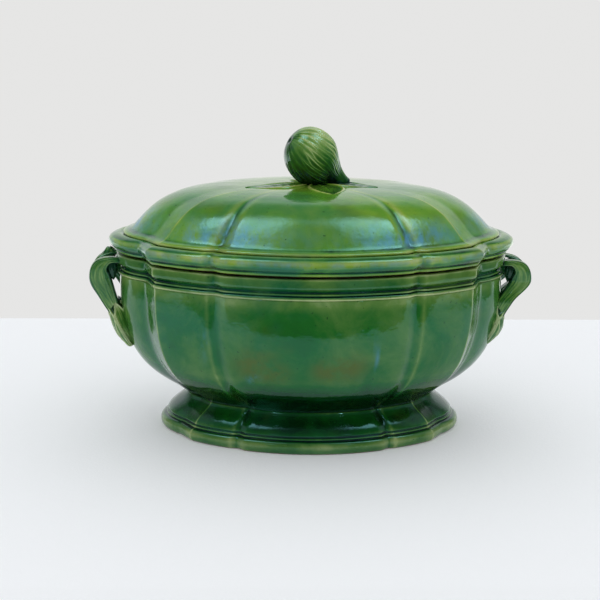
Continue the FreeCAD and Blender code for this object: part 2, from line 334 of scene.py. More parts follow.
# Brown patches on the front and back of the bowl: X, height above its base and radius, in millimetres.
BOWL_STAINS = [(-47, 48, 17), (-34, 42, 13), (10, 45, 13), (25, 48, 16)]
STAIN_FLATNESS = 1.3
# Strokes of painted bluish sheen there: X, height, half width and half height in millimetres, and
# strength.
BOWL_SHEEN_STROKES = [(48, 58, 1.1, 11, 0.7), (-48, 35, 5, 3.5, 0.6), (-88, 62, 3, 12, 0.3)]
# Heights in millimetres where painted shade low on the bowl starts and is full, where the dome's
# painted bluish sheen starts and is full, from below and above, and the rim's painted sheen with its
# half width.
BOWL_SHADE = (33, 15)
DOME_SHEEN = (2, 7)
DOME_SHEEN_END = (26, 12)
RIM_SHEEN = (9.5, 2.2)


# ======== outlines and profiles
def knot_point(spec):
    """A knot of the outline whose half length is 1."""
    angle = math.radians(spec[0])
    reach = 1 - spec[1]
    return np.array([reach * math.cos(angle), reach * math.sin(angle) * DEPTH_RATIO])


def arc_through(start, middle, end, count):
    """Evenly spaced points on the circle through three points, from start to end."""
    rows = np.array([2 * (middle - start), 2 * (end - start)])
    sides = np.array([middle @ middle - start @ start, end @ end - start @ start])
    centre = np.linalg.solve(rows, sides)
    radius = np.linalg.norm(start - centre)
    first = math.atan2(*(start - centre)[::-1])
    last = math.atan2(*(end - centre)[::-1])
    turn = (last - first + math.pi) % (2 * math.pi) - math.pi
    angles = first + turn * np.linspace(0, 1, count)
    return centre + radius * np.stack([np.cos(angles), np.sin(angles)], 1)


def quarter_outline(valley_inset):
    """The first quarter of the unit outline with sharp corners, from the end to the front."""
    knots = ((END_VALLEY, valley_inset), SIDE_CORNER, SIDE_MIDDLE, RIB_CREST, GROOVE, FRONT_SHOULDER)
    valley, corner, middle, crest, groove, shoulder = [knot_point(spec) for spec in knots]
    end_arc = arc_through(valley * [1, -1], np.array([1.0, 0.0]), valley, END_ARC_POINTS)
    side_arc = arc_through(corner, middle, crest, SIDE_ARC_POINTS)
    front_arc = arc_through(shoulder, np.array([0.0, DEPTH_RATIO]), shoulder * [-1, 1], FRONT_ARC_POINTS)
    from_end = end_arc[END_ARC_POINTS // 2:]
    to_front = front_arc[:FRONT_ARC_POINTS // 2 + 1]
    return np.concatenate([from_end, side_arc, [groove], to_front])


def resample(points, count, density=None):
    """Points spaced along a closed line, evenly or by a density."""
    closed = np.concatenate([points, points[:1]])
    steps = np.linalg.norm(np.diff(closed, axis=0), axis=1)
    if density is not None:
        steps = steps * density
    along = np.concatenate([[0], np.cumsum(steps)])
    wanted = np.linspace(0, along[-1], count, endpoint=False)
    return np.stack([np.interp(wanted, along, closed[:, k]) for k in (0, 1)], 1)


def rounded(points, sigma):
    """A closed, evenly spaced line with its corners rounded by a Gaussian of that width."""
    step = np.linalg.norm(points[1] - points[0])
    reach = int(4 * sigma / step) + 1
    offsets = np.arange(-reach, reach + 1) * step
    weights = np.exp(-0.5 * (offsets / sigma) ** 2)
    weights /= weights.sum()
    padded = np.concatenate([points[-reach:], points, points[:reach]])
    return np.stack([np.convolve(padded[:, k], weights, "valid") for k in (0, 1)], 1)


def near_knot(line, spec, reach):
    """1 at a knot and its mirror images, falling to 0 beyond a reach."""
    away = np.linalg.norm(np.abs(line) - knot_point(spec), axis=1)
    return np.exp(-0.5 * (away / reach) ** 2)


def lobed_outline(soft_rounding, valley_inset):
    """The outline for half length 1 and the ellipse behind it, as two rows of points."""
    quarter = quarter_outline(valley_inset)
    half = np.concatenate([quarter, quarter[-2::-1] * [-1, 1]])
    full = resample(np.concatenate([half, half[-2:0:-1] * [1, -1]]), OUTLINE_POINTS)
    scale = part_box("lid_rim")[1][0]
    near = near_knot(full, SIDE_CORNER, CORNER_REACH / scale)
    line = rounded(full, SHARP_ROUNDING / scale) * near[:, None]
    line += rounded(full, soft_rounding / scale) * (1 - near[:, None])
    by_groove = near_knot(line, GROOVE, GROOVE_REACH / scale)
    line = resample(line, COLUMNS, 1 + CORNER_DENSITY * near + GROOVE_DENSITY * by_groove)
    angle = np.arctan2(line[:, 1] / DEPTH_RATIO, line[:, 0])
    ellipse = np.stack([np.cos(angle), np.sin(angle) * DEPTH_RATIO], 1)
    return line, ellipse


def smooth_run(points, step):
    """A smooth curve through points, and a straight line between two points."""
    points = np.array(points, float)
    if len(points) == 2:
        count = max(2, int(np.linalg.norm(points[1] - points[0]) / (3 * step)) + 1)
        return points[0] + (points[1] - points[0]) * np.linspace(0, 1, count)[:, None]
    ends = np.concatenate([[2 * points[0] - points[1]], points, [2 * points[-1] - points[-2]]])
    out = []
    for a, b, c, d in zip(ends, ends[1:], ends[2:], ends[3:]):
        before, here, after = [max(np.linalg.norm(gap), 1e-9) ** 0.5 for gap in (b - a, c - b, d - c)]
        slope_b = (c - b) / here + here / (before + here) * ((b - a) / before - (c - b) / here)
        slope_c = (c - b) / here + here / (here + after) * ((d - c) / after - (c - b) / here)
        count = max(2, int(np.linalg.norm(c - b) / step) + 1)
        t = np.linspace(0, 1, count, endpoint=False)[:, None]
        out.append((2 * t ** 3 - 3 * t ** 2 + 1) * b + (t ** 3 - 2 * t ** 2 + t) * here * slope_b
                   + (3 * t ** 2 - 2 * t ** 3) * c + (t ** 3 - t ** 2) * here * slope_c)
    out.append(points[-1:])
    return np.concatenate(out)


def profile(node, outside, inside):
    """Heights and half lengths in metres along a shell's profile."""
    low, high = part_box(node)
    lines = [smooth_run(run, FINE_STEP) for run in outside]
    lines += [smooth_run(run, COARSE_STEP) for run in inside]
    line = np.concatenate(lines[:1] + [after[1:] for after in lines[1:]]) * MM
    return low[2] + line[:, 0], high[0] - line[:, 1]


# ======== meshes
def new_piece(name, vertices, faces):
    """A mesh object in the scene, shaded smooth."""
    mesh = bpy.data.meshes.new(name)
    mesh.from_pydata([tuple(v) for v in vertices], [], faces)
    mesh.validate()
    mesh.update()
    mesh.shade_smooth()
    piece = bpy.data.objects.new(name, mesh)
    bpy.context.scene.collection.objects.link(piece)
    return piece


def grid_faces(rows, columns, wrap_columns=True, wrap_rows=False, first=0):
    """Quads of a grid of vertices, which may close on itself either way."""
    faces = []
    row_count = rows if wrap_rows else rows - 1
    column_count = columns if wrap_columns else columns - 1
    for r in range(row_count):
        here = first + r * columns
        above = first + (r + 1) % rows * columns
        for c in range(column_count):
            beside = (c + 1) % columns
            faces.append((here + c, here + beside, above + beside, above + c))
    return faces


def wobbled(vertices):
    """Vertices moved a little, but not where the piece stands on the table."""
    moved = []
    for v in vertices:
        strength = WOBBLE * min(1, abs(v[2]) / WOBBLE_FULL)
        moved.append(Vector(v) + noise.noise_vector(Vector(v) / WOBBLE_SIZE) * strength)
    return moved


def knot_crest(node, outline, half):
    """How thin the glaze runs on each column of the outline, at a half length."""
    rib, corner, groove, shoulder, rib_width = KNOT_MARKS[node]
    marks = (
        (RIB_CREST, rib, rib_width), (SIDE_CORNER, corner, CORNER_MARK),
        (GROOVE, groove, GROOVE_MARK_SHARE * rib_width), (FRONT_SHOULDER, shoulder, SHOULDER_MARK),
    )
    crest = np.zeros(COLUMNS)
    for spec, height, width in marks:
        away = np.linalg.norm(np.abs(outline) - knot_point(spec), axis=1) * half
        crest += height * np.exp(-(away / (width * MM)) ** 2)
    return crest


def level_crest(node, height):
    """How thin the glaze runs at a height in millimetres above the node's base."""
    crest = 0
    for level, strength, width in LEVEL_MARKS[node]:
        crest += strength * math.exp(-((height - level) / width) ** 2)
    return crest


def lobed_piece(name, node, outside, inside, fade_below=0.0, closed=True):
    """A lobed shell through a profile, which stands for a CAD node."""
    outline, ellipse = lobed_outline(SOFT_ROUNDING[node] * MM, VALLEY_INSETS[node])
    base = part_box(node)[0][2]
    heights, halves = profile(node, outside, inside)
    if closed:
        heights, halves = heights[:-1], halves[:-1]
    vertices, crests = [], []
    for z, half in zip(heights, halves):
        lobe = min(1.0, half / fade_below) if fade_below else 1.0
        ring = (outline * lobe + ellipse * (1 - lobe)) * half
        vertices += [(x, y, z) for x, y in ring]
        crests.append(knot_crest(node, outline, half) * lobe + level_crest(node, (z - base) / MM))
    faces = grid_faces(len(heights), COLUMNS, wrap_rows=closed)
    piece = new_piece(name, wobbled(vertices), faces)
    store(piece, "crest", np.concatenate(crests))
    return piece


def points_of(piece, kind):
    """The vertices' places (co) or normals (normal) as rows of numbers."""
    values = np.empty(len(piece.data.vertices) * 3)
    piece.data.vertices.foreach_get(kind, values)
    return values.reshape(-1, 3)


def store(piece, name, values):
    """Keeps one number per vertex, which the glaze reads."""
    layer = piece.data.attributes.new(name, "FLOAT", "POINT")
    layer.data.foreach_set("value", np.asarray(values, dtype=np.float32))


def store_relief(piece):
    """Keeps how convex (above 0) or hollow (below 0) the surface is, closely and more widely."""
    mesh = piece.data
    count = len(mesh.vertices)
    place = points_of(piece, "co")
    normal = points_of(piece, "normal")
    edge = np.empty(len(mesh.edges) * 2, dtype=np.int64)
    mesh.edges.foreach_get("vertices", edge)
    start, end = edge.reshape(-1, 2).T
    gap = place[end] - place[start]
    length = np.maximum(np.linalg.norm(gap, axis=1), 0.05 * MM)
    pull = np.zeros((count, 3))
    total = np.zeros(count)
    for side, sign in ((start, 1), (end, -1)):
        for k in range(3):
            pull[:, k] += np.bincount(side, gap[:, k] * sign / length, count)
        total += np.bincount(side, length, count)
    bend = -np.einsum("ij,ij->i", pull, normal) / np.maximum(total, 1e-9)
    weight = 1 / length
    shares = np.bincount(start, weight, count) + np.bincount(end, weight, count)

    def blurred(values, rounds):
        for _ in range(rounds):
            around = np.bincount(start, weight * values[end], count)
            around += np.bincount(end, weight * values[start], count)
            values = 0.5 * values + 0.5 * around / np.maximum(shares, 1e-9)
        return values

    close = blurred(bend, SHARP_BLURS)
    store(piece, "relief", np.tanh(close * SHARP_RELIEF * MM))
    store(piece, "swell", np.tanh(blurred(close, BROAD_BLURS) * BROAD_RELIEF * MM))


def squared(values, power):
    """A cosine or sine wave with fuller shoulders."""
    return np.sign(values) * np.abs(values) ** power


def sweep(stations, around, shape, power):
    """Rows of a tube through stations of (x, y, z, half across, half along Y), all in millimetres.

    Its section is an ellipse at power 1 and squarer below. The shape gives how far the surface
    stands out and how much of a crest it is, at a share of the length and degrees round, where 0
    degrees faces out and up, and 270 degrees faces the front.
    """
    line = smooth_run(stations, TUBE_STEP)
    centre = line[:, :3]
    tangent = np.gradient(centre, axis=0)
    tangent /= np.linalg.norm(tangent, axis=1)[:, None]
    across = np.stack([-tangent[:, 2], np.zeros(len(line)), tangent[:, 0]], 1)
    across /= np.linalg.norm(across, axis=1)[:, None]
    beside = np.cross(across, tangent)
    steps = np.linalg.norm(np.diff(centre, axis=0), axis=1)
    share = np.concatenate([[0], np.cumsum(steps)])
    share /= share[-1]
    turn = np.arange(around) * 2 * math.pi / around
    rows, crests = [], []
    for place, side, front, t, (half, depth) in zip(centre, across, beside, share, line[:, 3:]):
        lift, crest = shape(t, np.degrees(turn))
        out = np.outer(squared(np.cos(turn), power) * half, side)
        out += np.outer(squared(np.sin(turn), power) * depth, front)
        out += (np.outer(np.cos(turn), side) + np.outer(np.sin(turn), front)) * lift[:, None]
        rows.append(place + out)
        crests.append(crest)
    return np.concatenate(rows), np.concatenate(crests), len(line)


def tube_faces(rows, around, first):
    """The faces of a swept tube, with both ends closed."""
    faces = grid_faces(rows, around, first=first)
    faces.append(tuple(first + c for c in range(around - 1, -1, -1)))
    faces.append(tuple(first + (rows - 1) * around + c for c in range(around)))
    return faces


def turn_gap(degrees, middle):
    """The signed angle from a middle, between -180 and 180 degrees."""
    return (degrees - middle + 180) % 360 - 180


def band(degrees, middle, width):
    """1 at a middle angle, falling to 0 beyond a width."""
    return np.exp(-(turn_gap(degrees, middle) / width) ** 2)


def clamped(value, low, high):
    """0 at low, 1 at high, straight between and level beyond."""
    return np.clip((value - low) / (high - low), 0, 1)


def smooth_share(values, start, end):
    """0 at the start, 1 at the end, smooth between and level beyond."""
    share = clamped(values, start, end)
    return share * share * (3 - 2 * share)


# ======== handles
def stem_shape(t, degrees):
    """Folds and veins along a stem."""
    lift = np.zeros(len(degrees))
    crest = np.zeros(len(degrees))
    for angle, height, width in STEM_FOLDS:
        fold = band(degrees, angle + 6 * math.sin(6 * t + angle), width)
        lift += height * fold
        crest = np.maximum(crest, 0.75 * fold ** 2)
    for angle, height, width in STEM_VEINS:
        sway = 5 * math.sin(5 * t + 0.9 * angle) + 3 * math.sin(11 * t + angle)
        vein = height * band(degrees, angle + sway, width)
        lift += vein
        crest = np.maximum(crest, (2.6 + 1.4 * math.sin(9 * t + 2 * angle)) * vein)
    lift -= STEM_HOLLOW[2] * band(degrees, *STEM_HOLLOW[:2])
    grow = min(1, 4 * t + 0.2)
    # The inner side is darkened as painted shade.
    return lift * grow, 0.05 + crest * grow - STEM_INSIDE_SHADE[2] * band(degrees, *STEM_INSIDE_SHADE[:2])


def branch_shape(t, degrees):
    """Coarse veins along a branch."""
    wave = 0.3 * np.cos(np.radians(degrees) * 7 + 2 * math.sin(5 * t))
    return wave, wave


def stump_shape(t, degrees):
    """Coarse veins, and a pale cut end."""
    lift, crest = branch_shape(t, degrees)
    return lift, crest + 0.9 * clamped(t, *STUMP_CUT)


def arch_shade_shape(t, degrees):
    """Painted shade: dark, with paler streaks."""
    streaks = np.cos(np.radians(degrees) * 11 + 3 * t)
    return 0.15 * streaks, 0.6 * streaks - 0.75


def leaf_height(t, degrees, leaf):
    """The relief of one pointed leaf that lies round a bud, and its crests."""
    middle, half_width, start, tip, lift = leaf
    along = (t - start) / (tip - start)
    if not 0 < along < 1:
        return np.full(len(degrees), -9.0), np.zeros(len(degrees))
    width = half_width * math.sin(math.pi * along) ** 0.8
    signed = turn_gap(degrees, middle + 5 * math.sin(4 * along))
    away = np.abs(signed)
    beyond = away - width
    rim = np.exp(-((beyond + 5) / BUD_RIM_WIDTH) ** 2)
    rib = np.exp(-(signed / 3.0) ** 2) * (1 - along)
    veins = BUD_VEINS * np.cos(away * 0.5 - 26 * along)
    dish = np.clip(1 - away / max(width, 1), 0, 1)
    valley = np.exp(-((beyond - 3) / 4.0) ** 2)
    height = BUD_BODY + lift - BUD_EDGE / (1 + np.exp(-beyond / BUD_EDGE_WIDTH))
    height += BUD_RIM * rim + BUD_RIB * rib + veins - BUD_DISH * dish
    return height, 0.1 + 4.2 * rim + 1.1 * rib + 4.5 * veins - 3.6 * valley


def bud_shape(t, degrees):
    """Overlapping leaves round a bud; the highest one shows."""
    height = np.zeros(len(degrees))
    crest = np.full(len(degrees), -0.9)
    for leaf in BUD_LEAVES:
        leaf_lift, leaf_crest = leaf_height(t, degrees, leaf)
        over = leaf_lift > height - 0.25
        crest = np.where(over, leaf_crest, crest)
        height = np.maximum(height, leaf_lift)
    return height, crest


def handle_piece(name, parts, side, rear, node):
    """A stem or bud as one piece, from tubes given for the front right, moved to its own place."""
    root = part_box("collar")[1][0]
    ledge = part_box("collar")[0][2]
    size = HANDLE_SIZE[side]
    points, faces, crests = [], [], []
    for stations, around, shape, power in parts:
        rows, crest, count = sweep(stations, around, shape, power)
        faces += tube_faces(count, around, first=sum(len(p) for p in points))
        points.append(rows)
        crests.append(crest)
    points = np.concatenate(points)
    splay = smooth_share(points[:, 2], *SPLAY_HEIGHTS)
    turn_out = smooth_share(points[:, 2], *TURN_OUT_HEIGHTS)
    points[:, 0] += turn_out * TURN_OUT[side] - splay * SPLAY_INWARDS[side]
    points[:, 1] -= splay * SPLAY_SIDEWAYS[side]
    points = points * MM
    points[:, 0] = root + points[:, 0] * size
    points[:, 2] = ledge + HANDLE_MIDDLE + (points[:, 2] - HANDLE_MIDDLE) * size
    if side == "left":
        points[:, 0] *= -1
    if rear:
        points[:, 1] *= -1
    if rear != (side == "left"):
        faces = [face[::-1] for face in faces]
    piece = new_piece(name, out_of_bowl(points), faces)
    store(piece, "crest", np.concatenate(crests))
    dress(piece, "handle", "handle_glaze", "tureen", node)


def mirrored(stations):
    """Stations on the other side of the handle's middle."""
    return [(x, -y, z, half, depth) for x, y, z, half, depth in stations]


def slimmer(stations):
    """The same line with a slimmer section that keeps its outer side."""
    line = []
    for x, y, z, half, depth in stations:
        line.append((x + (1 - REAR_SLIMMER) * half, y, z, REAR_SLIMMER * half, depth))
    return line


def bud_line(side):
    """The stations of a bud, shortened from the top down and widened towards the bowl."""
    top = LEAF_BUD[0][2]
    wide = BUD_WIDENING[side]
    line = []
    for x, y, z, half, depth in LEAF_BUD:
        higher = z + (top - z) * BUD_SHORTENING[side]
        line.append((x - (wide - 1) * half, y, higher, wide * half, depth))
    return line


def polar(points):
    """Angle and reach of points on ellipses of the plan's proportions."""
    depth = points[:, 1] / DEPTH_RATIO
    return np.arctan2(depth, points[:, 0]), np.hypot(points[:, 0], depth)


def out_of_bowl(points):
    """Points that lie deep in the bowl's wall or beyond it, moved out to a small depth."""
    outline, _ = lobed_outline(SOFT_ROUNDING["bowl"] * MM, VALLEY_INSETS["bowl"])
    heights, halves = profile("bowl", BOWL_OUTSIDE, [])
    known, unit = polar(outline)
    turn, reach = polar(points)
    least = np.interp(turn, known, unit, period=2 * math.pi) * np.interp(points[:, 2], heights, halves)
    points[:, :2] *= np.maximum(1, (least - ROOT_DEPTH) / reach)[:, None]
    return points


def handles():
    """Veined stems and leaf buds of both handles."""
    for side in ("left", "right"):
        bud = [(bud_line(side), BUD_COLUMNS, bud_shape, BUD_SECTION)]
        front = [(STEM, STEM_COLUMNS, stem_shape, STEM_SECTION), (ARCH_SHADE, BRANCH_COLUMNS, arch_shade_shape, 1)]
        back = [(slimmer(STEM), STEM_COLUMNS, stem_shape, STEM_SECTION),
                (mirrored(BRANCH), BRANCH_COLUMNS, branch_shape, 1)]
        if side == "left":
            back.append((mirrored(STUMP), STUMP_COLUMNS, stump_shape, 1))
        for place, stem in (("front", front), ("rear", back)):
            name = side + "_" + place
            rear = place == "rear"
            handle_piece(name + "_branch", stem, side, rear, name + "_stem")
            handle_piece(name + "_bud", bud, side, rear, name + "_leaf")


# ======== fig
def fig_ribs(turn, t, radius):
    """Fine ribs that fork once and run on, uneven in height."""
    twist = 0.55 * t + 0.07 * math.sin(7 * t) + 0.05 * np.sin(3 * turn + 5 * t)
    twist += 0.02 * np.sin(8 * turn - 9 * t)
    part = FIG_RIBS * (turn + twist) / (2 * math.pi)
    split = 0.5 * clamped(t, 0.18, 0.40) * (1 + 0.3 * math.sin(19 * t))
    spacing = 2 * math.pi * max(radius, 2) / FIG_RIBS
    ribs = np.zeros(len(turn))
    for offset, height in ((0, 1.0), (split, 0.8), (-0.55 * split, 0.45)):
        gap = np.abs((part + offset + 0.5) % 1 - 0.5) * spacing
        ribs = np.maximum(ribs, height * np.exp(-(gap / FIG_RIB_WIDTH) ** 2))
    return ribs * (0.75 + 0.25 * np.sin(5 * turn + 14 * t))


def fig():
    """The fig knob: a pear-shaped body with forking ribs from its eye to its stalk."""
    line = smooth_run(FIG_PROFILE, FIG_STEP)
    rest = FIG_AXIS.orthogonal().normalized()
    basis = np.array([FIG_AXIS.cross(rest), rest])
    turn = np.arange(FIG_COLUMNS) * 2 * math.pi / FIG_COLUMNS
    circle = np.stack([np.cos(turn), np.sin(turn)], 1) @ basis
    vertices, crests = [], []
    for (distance, radius), t in zip(line, np.linspace(0, 1, len(line))):
        fade = math.sin(math.pi * clamped(t, 0.07, 0.93)) ** 0.5
        ribs = fig_ribs(turn, t, radius)
        swell = radius + (FIG_RIB_HEIGHT * ribs - 0.2) * fade
        ring = circle * swell[:, None] + np.array(FIG_AXIS) * distance
        ring[:, 2] *= 1 + (FIG_HEIGHTEN - 1) * clamped(distance, *FIG_HEIGHTEN_ALONG)
        ring[:, 2] -= FIG_DROOP * clamped(distance, *FIG_DROOP_ALONG)
        vertices.append(ring * MM + np.array(FIG_MIDDLE))
        eye = math.exp(-((distance - FIG_EYE[0]) / FIG_EYE[1]) ** 2) * (0.6 + 0.4 * np.cos(5 * turn))
        crests.append(2.4 * ribs * fade - 0.35 - 1.2 * eye)
    vertices = np.concatenate(vertices)
    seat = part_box("lid_dome")[1][2] - 0.5 * MM
    lowest = seat + FIG_SINK
    below = vertices[:, 2] < lowest
    vertices[below, 2] = seat + FIG_SINK * np.exp((vertices[below, 2] - lowest) / FIG_SINK)
    piece = new_piece("fig_knob", vertices, grid_faces(len(line), FIG_COLUMNS))
    store(piece, "crest", np.concatenate(crests))
    x, _, z = (vertices - [0, 0, seat]).T / MM
    # Painted shade: darker low on the fig, where less light falls, and less so towards the stalk.
    store(piece, "painted_shade", 0.47 - 0.84 * clamped(z, 0, 42) - 0.40 * clamped(x, 18, 33))
    return piece


# ======== lid leaves
def within(x, y, middle_x, middle_y, half_width, half_height):
    """0 at the middle of an ellipse, 1 on it and more beyond."""
    return np.hypot((x - middle_x) / half_width, (y - middle_y) / half_height)


def fig_shade_and_reflection(x, y):
    """Painted shade round the fig's base and a painted dark reflection of the fig in front of it, at a
    point seen from above in millimetres.
    """
    under = np.exp(-np.maximum(within(x, y, *FIG_FOOTING) - 1, 0) / 0.08)
    return np.maximum(0.45 * under, 0.12 * np.exp(-within(x, y, *FIG_PAINTED_REFLECTION) ** 3))


def lid_leaf(name, base, tip, half_width):
    """A leaf in low relief on the dome, with a rolled rim, a midrib and side veins."""
    heights, halves = profile("lid_dome", DOME_OUTSIDE, [])
    base = np.array(base) * MM
    along = np.array(tip) * MM - base
    beside = np.array([-along[1], along[0]]) / np.linalg.norm(along)
    vertices, crests, leaf_shades = [], [], []
    for u in np.linspace(0.02, 0.998, LEAF_ROWS):
        width = half_width * MM * math.sin(math.pi * u ** 0.86) ** 0.85
        bow = LEAF_BOW * math.sin(math.pi * u)
        for v in np.linspace(-1, 1, LEAF_COLUMNS):
            x, y = base + along * u + beside * (width * v + bow)
            ground = np.interp(math.hypot(x, y / DEPTH_RATIO), halves[::-1], heights[::-1])
            rim = LEAF_RIM * math.exp(-((abs(v) - 0.86) / 0.10) ** 2)
            rib = LEAF_RIB * math.exp(-(v / 0.06) ** 2) * (1 - 0.6 * u)
            veins = LEAF_VEINS * math.cos(2 * math.pi * (7 * u - 2.2 * abs(v))) * (1 - abs(v))
            crown = (1 - v ** 8) * (0.35 + 0.65 * math.sin(math.pi * min(1, u + 0.25)))
            rise = LEAF_THICKNESS * crown * (LEAF_BODY + rim + rib + veins)
            vertices.append((x, y, ground + rise - LEAF_SINK))
            crests.append(3.2 * rim + 1.3 * rib + 2 * veins - 0.45)
            # Painted shade round the fig, and a little darker all over.
            leaf_shades.append(fig_shade_and_reflection(x / MM, y / MM) + 0.04)
    top = len(vertices)
    vertices += [(x, y, z - LEAF_DEPTH) for x, y, z in vertices]
    faces = grid_faces(LEAF_ROWS, LEAF_COLUMNS, wrap_columns=False)
    faces += [tuple(top + v for v in face[::-1]) for face in faces]
    grid = np.arange(top).reshape(LEAF_ROWS, LEAF_COLUMNS)
    border = np.concatenate([grid[:, 0], grid[-1, 1:], grid[-2::-1, -1], grid[0, -2:0:-1]]).tolist()
    for a, b in zip(border, border[1:] + border[:1]):
        faces.append((a, b, top + b, top + a))
    piece = new_piece(name + "_relief", vertices, faces)
    store(piece, "crest", crests * 2)
    store(piece, "painted_shade", leaf_shades * 2)
    return piece


# ======== glaze
def set_inputs(tree, node, inputs):
    """Fills inputs, by name or number: sockets are linked, and numbers, places and colours are set."""
    for key, value in inputs.items():
        socket = node.inputs[key]
        if hasattr(value, "is_linked"):
            tree.links.new(value, socket)
        elif socket.type == "RGBA":
            socket.default_value = (*value, 1)
        else:
            socket.default_value = value


def add_node(tree, kind, inputs=None, **settings):
    """A shader node with its settings and inputs."""
    node = tree.nodes.new("ShaderNode" + kind)
    for name, value in settings.items():
        setattr(node, name, value)
    set_inputs(tree, node, inputs or {})
    return node


def new_material(name):
    """A new material, its node tree and its shader."""
    material = bpy.data.materials.new(name)
    material.use_nodes = True
    return material, material.node_tree, material.node_tree.nodes["Principled BSDF"]


def ramp(tree, stops, source):
    """A colour ramp with the given (position, colour) stops."""
    node = add_node(tree, "ValToRGB", {"Fac": source})
    while len(node.color_ramp.elements) < len(stops):
        node.color_ramp.elements.new(0.5)
    for element, (position, colour) in zip(node.color_ramp.elements, stops):
        element.position = position
        element.color = (*colour, 1)
    return node.outputs["Color"]


def mask(tree, source, low, high):
    """0 below low, 1 above high and smooth between; low may be above high."""
    inputs = {"Value": source, "From Min": low, "From Max": high}
    return add_node(tree, "MapRange", inputs, interpolation_type="SMOOTHSTEP").outputs["Result"]


def noise_field(tree, scale, detail, roughness=0.5, offset=(0, 0, 0), stretch=(1, 1, 1), distortion=0.0):
    """A noise over the piece's own coordinates, in metres."""
    place = add_node(tree, "TexCoord").outputs["Object"]
    mapping = add_node(tree, "Mapping", {"Vector": place, "Location": offset, "Scale": stretch})
    inputs = {"Vector": mapping.outputs["Vector"], "Scale": scale, "Detail": detail}
    inputs.update({"Roughness": roughness, "Distortion": distortion})
    return add_node(tree, "TexNoise", inputs).outputs["Fac"]


def stored(tree, name):
    """A number kept on the vertices."""
    return add_node(tree, "Attribute", attribute_name=name).outputs["Fac"]


def maths(tree, operation, *values):
    """A Math node between sockets or numbers."""
    return add_node(tree, "Math", dict(enumerate(values)), operation=operation).outputs["Value"]


def scaled(tree, value, factor, added=0.0):
    """A value times a factor, with something added."""
    return maths(tree, "MULTIPLY_ADD", value, factor, added)


def mixed(tree, factor, first, second):
    """A colour mix; a Mix node's factor and colours are its inputs 0, 6 and 7, and output 2."""
    return add_node(tree, "Mix", {0: factor, 6: first, 7: second}, data_type="RGBA").outputs[2]


def bumps(tree, shader, height, strength, distance):
    """Makes a shader's surface uneven."""
    node = add_node(tree, "Bump", {"Height": height, "Strength": strength, "Distance": distance})
    set_inputs(tree, shader, {"Normal": node.outputs["Normal"]})


def level_of(tree, relief):
    """Where the glaze is thin (1) or pooled (0), by relief, marks, painted shade and clouds."""
    uneven = scaled(tree, noise_field(tree, 40, 4, 0.6, (4, 8, 1)), 2.8, -0.45)
    crest = maths(tree, "MULTIPLY", stored(tree, "crest"), uneven)
    cloud = maths(tree, "SUBTRACT", noise_field(tree, 22, 6, 0.62, distortion=0.6), 0.5)
    level = scaled(tree, stored(tree, "relief"), relief, 0.5)
    level = scaled(tree, stored(tree, "swell"), 0.25, level)
    level = scaled(tree, crest, 0.42, level)
    # Painted shade kept on the vertices darkens the glaze here.
    level = maths(tree, "SUBTRACT", level, stored(tree, "painted_shade"))
    return scaled(tree, cloud, 0.55, level)


def glaze(name, pooled, body, thin, edge, relief=0.5, olive=0.5, teal=0.35, clay_below=None,
          tint=(0.36, 0.84, 0.93)):
    """Green lead glaze: dark where it pools in hollows, yellow and pale where it thins on edges."""
    material, tree, shader = new_material(name)
    deepest = tuple(0.3 * v for v in pooled)
    stops = list(zip(GLAZE_STOPS, (deepest, pooled, body, thin, edge)))
    colour = ramp(tree, stops, level_of(tree, relief))
    patch = mask(tree, noise_field(tree, 15, 4, 0.6, (3.1, 1.7, 7.3)), 0.52, 0.68)
    wash = mask(tree, noise_field(tree, 11, 4, 0.6, (9.2, 4.4, 0.6)), 0.47, 0.64)
    blotch = mask(tree, noise_field(tree, 60, 5, 0.65), 0.25, 0.62)
    # Painted sheen: streaks of painted bluish reflection where the vertices ask for it, which also make
    # the glaze rougher there.
    sheen_streaks = mask(tree, noise_field(tree, 48, 5, 0.65, (0, 2, 5), (1.6, 1, 0.8), 0.2), 0.36, 0.66)
    pits = mask(tree, noise_field(tree, 430, 2, 0.5, (1, 6, 2)), 0.70, 0.76)
    painted_sheen = maths(tree, "MULTIPLY", stored(tree, "painted_sheen"), sheen_streaks)
    layers = (
        (scaled(tree, patch, olive), OLIVE), (scaled(tree, wash, teal), TEAL),
        (maths(tree, "MULTIPLY", stored(tree, "stain"), blotch), OCHRE), (painted_sheen, PAINTED_SHEEN_BLUE),
        (scaled(tree, pits, 0.8), PINHOLE),
    )
    for factor, over in layers:
        colour = mixed(tree, factor, colour, over)

    gloss = mask(tree, noise_field(tree, 55, 5, 0.7, (5, 5, 2)), 0.30, 0.75)
    gloss = scaled(tree, painted_sheen, 0.14, scaled(tree, gloss, 0.17, 0.02))
    if clay_below is not None:
        place = add_node(tree, "TexCoord").outputs["Object"]
        height = add_node(tree, "SeparateXYZ", {"Vector": place}).outputs["Z"]
        ragged = scaled(tree, noise_field(tree, 90, 3), 1.6 * MM, height)
        bare = mask(tree, ragged, clay_below + 1.8 * MM, clay_below + 1.0 * MM)
        colour = mixed(tree, bare, colour, CLAY_RED)
        gloss = scaled(tree, bare, 0.6, gloss)
    looks = {"Base Color": colour, "Roughness": gloss, "IOR": GLAZE_IOR, "Specular Tint": tint}
    set_inputs(tree, shader, looks)
    ripple = scaled(tree, noise_field(tree, 230, 3), 0.07, noise_field(tree, 36, 4))
    bumps(tree, shader, ripple, 0.45, 1.6 * MM)
    return material


def clay_in_painted_shade():
    """Fired red-brown earthenware without glaze, darkened as painted shade for the narrow gap under the
    lid.
    """
    material, tree, shader = new_material("bare_clay")
    stops = [(0.3, (0.045, 0.022, 0.012)), (0.7, (0.09, 0.045, 0.025))]
    colour = ramp(tree, stops, noise_field(tree, 300, 5, 0.6))
    set_inputs(tree, shader, {"Base Color": colour, "Roughness": 0.8})
    return material


GLAZES = {name: glaze(name + "_glaze", **look) for name, look in GLAZE_LOOKS.items()}


